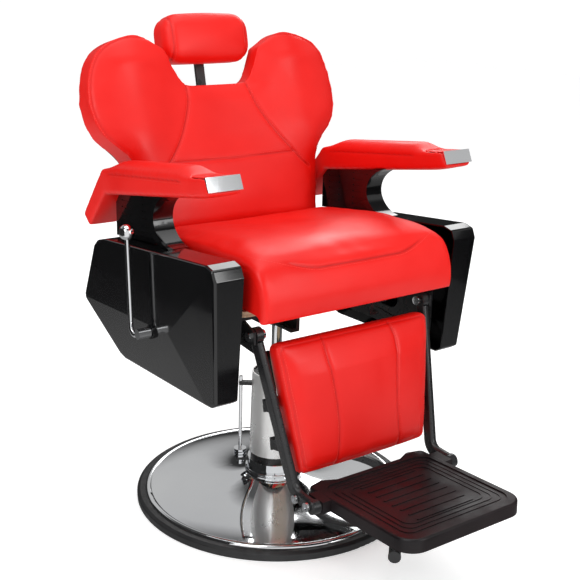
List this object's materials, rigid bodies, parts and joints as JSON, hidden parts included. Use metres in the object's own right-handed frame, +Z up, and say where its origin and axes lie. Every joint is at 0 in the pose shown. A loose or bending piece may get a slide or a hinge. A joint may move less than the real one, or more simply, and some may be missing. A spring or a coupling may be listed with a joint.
{
  "type": "barber chair",
  "caption": "Hydraulic reclining barber chair on a round chromed base, with winged red backrest, headrest, arms, linked leg rest and folding footplate.",
  "frame": {"origin": "on the floor at the centre of the round base, on the lift column's axis", "axes": "+Z up, -Y towards the front, where the footplate is, +X towards the right arm as seen from in front"},
  "size_m": [0.7343, 1.0239, 1.0987],
  "materials": {
    "chrome": "mirror-polished chrome plate",
    "black_steel": "satin black enamel",
    "zinc_steel": "bright zinc plate",
    "rubber": "ribbed black rubber",
    "plywood": "bare plywood",
    "black_vinyl": "grained black vinyl over board",
    "red_vinyl": "smooth bright red upholstery vinyl",
    "gloss_black": "polished black moulding"
  },
  "bodies": {
    "base": {"floor_ring": "rubber", "base_dish": "chrome", "base_plate": "black_steel", "pump_collar": "chrome", "pump_band": "black_steel", "pump_casing": "chrome", "pump_cylinder": "black_steel", "casing_cap": "black_steel", "rod_brackets": "black_steel", "side_rod": "chrome", "rod_discs": "chrome", "lever_bracket": "black_steel", "lever_pin": "zinc_steel"},
    "pump_lever": {"pump_lever": "zinc_steel", "pedal_sleeve": "rubber"},
    "ram": {"ram": "chrome"},
    "seat": {"turret": "black_steel", "turret_bolts": "zinc_steel", "crossbars": "black_steel", "seat_board": "plywood", "seat_cushion": "red_vinyl", "side_plate_left": "black_steel", "side_plate_right": "black_steel", "back_pins": "zinc_steel", "leg_brackets": "black_steel", "leg_pins": "chrome", "side_cover_left": "gloss_black", "side_cover_right": "gloss_black", "arm_panel_left": "gloss_black", "arm_panel_right": "gloss_black", "arm_pad_left": "red_vinyl", "arm_pad_right": "red_vinyl", "ashtray_left": "chrome", "ashtray_right": "chrome", "spring_bracket": "black_steel"},
    "ashtray_lid_left": {"ashtray_lid_left": "red_vinyl"},
    "ashtray_lid_right": {"ashtray_lid_right": "red_vinyl"},
    "recline_lever": {"recline_lever": "chrome", "recline_knob": "chrome"},
    "backrest": {"back_cushion": "red_vinyl", "back_board": "black_vinyl", "back_bracket_left": "black_steel", "back_bracket_right": "black_steel", "back_bolts": "zinc_steel", "headrest_guide": "black_steel"},
    "headrest": {"headrest_post": "black_steel", "headrest_pad": "red_vinyl"},
    "legrest": {"leg_pad": "red_vinyl", "leg_board": "plywood", "leg_arm_left": "black_steel", "leg_arm_right": "black_steel", "leg_straps": "black_steel", "leg_arm_bolts": "zinc_steel"},
    "link_bar_left": {"link_bar_left": "black_steel"},
    "link_bar_right": {"link_bar_right": "black_steel"},
    "footplate": {"footplate": "gloss_black", "foot_pins": "zinc_steel"},
    "spring_tube": {"spring_tube": "black_steel"},
    "spring_rod": {"spring_rod": "zinc_steel"}
  },
  "joints": [
    {"name": "pump_stroke", "type": "hinge", "parent": "base", "child": "pump_lever", "pos_m": [0.0457, -0.0704, 0.104], "axis": [0.8387, 0.5446, 0], "range_deg": [0, 5.2], "stiffness_Nm_per_rad": 40, "springref_deg": -8.59},
    {"name": "seat_lift", "type": "slide", "parent": "base", "child": "ram", "axis": [0, 0, 1], "range_m": [-0.09, 0.06]},
    {"name": "seat_swivel", "type": "hinge", "parent": "ram", "child": "seat", "pos_m": [0, 0, 0.44], "axis": [0, 0, 1], "continuous": true},
    {"name": "ashtray_lid_left_open", "type": "hinge", "parent": "seat", "child": "ashtray_lid_left", "pos_m": [-0.3015, -0.1695, 0.8287], "axis": [-1, 0, 0], "range_deg": [0, 100]},
    {"name": "ashtray_lid_right_open", "type": "hinge", "parent": "seat", "child": "ashtray_lid_right", "pos_m": [0.3015, -0.1695, 0.8287], "axis": [-1, 0, 0], "range_deg": [0, 100]},
    {"name": "recline_release", "type": "hinge", "parent": "seat", "child": "recline_lever", "pos_m": [-0.345, -0.033, 0.479], "axis": [1, 0, 0], "range_deg": [0, 25], "stiffness_Nm_per_rad": 3, "springref_deg": -17.19},
    {"name": "back_recline", "type": "hinge", "parent": "seat", "child": "backrest", "pos_m": [0, 0.175, 0.552], "axis": [-1, 0, 0], "range_deg": [0, 51.5]},
    {"name": "headrest_height", "type": "slide", "parent": "backrest", "child": "headrest", "axis": [0, 0.2283, 0.9736], "range_m": [0, 0.1]},
    {"name": "legrest_raise", "type": "hinge", "parent": "seat", "child": "legrest", "pos_m": [0, -0.237, 0.51], "axis": [-1, 0, 0], "range_deg": [0, 51.5]},
    {"name": "link_left_turn", "type": "hinge", "parent": "legrest", "child": "link_bar_left", "pos_m": [-0.1885, -0.217, 0.452], "axis": [-1, 0, 0], "range_deg": [-51.5, 0]},
    {"name": "link_right_turn", "type": "hinge", "parent": "legrest", "child": "link_bar_right", "pos_m": [0.1885, -0.217, 0.452], "axis": [-1, 0, 0], "range_deg": [-51.5, 0]},
    {"name": "footplate_fold", "type": "hinge", "parent": "legrest", "child": "footplate", "pos_m": [0, -0.389, 0.191], "axis": [-1, 0, 0], "range_deg": [0, 100]},
    {"name": "spring_tilt", "type": "hinge", "parent": "seat", "child": "spring_tube", "pos_m": [0.17, -0.15, 0.5], "axis": [1, 0, 0], "range_deg": [-1, 1]},
    {"name": "spring_stroke", "type": "slide", "parent": "spring_tube", "child": "spring_rod", "axis": [0, 0.9998, -0.0174], "range_m": [-0.056, 0]}
  ],
  "couplings": [
    {"joint": "legrest_raise", "follows": "back_recline", "ratio": 1},
    {"joint": "link_left_turn", "follows": "back_recline", "ratio": -1},
    {"joint": "link_right_turn", "follows": "back_recline", "ratio": -1},
    {"joint": "spring_tilt", "follows": "back_recline", "ratio": 0.007},
    {"joint": "spring_stroke", "follows": "back_recline", "m_per_rad": -0.06}
  ]
}
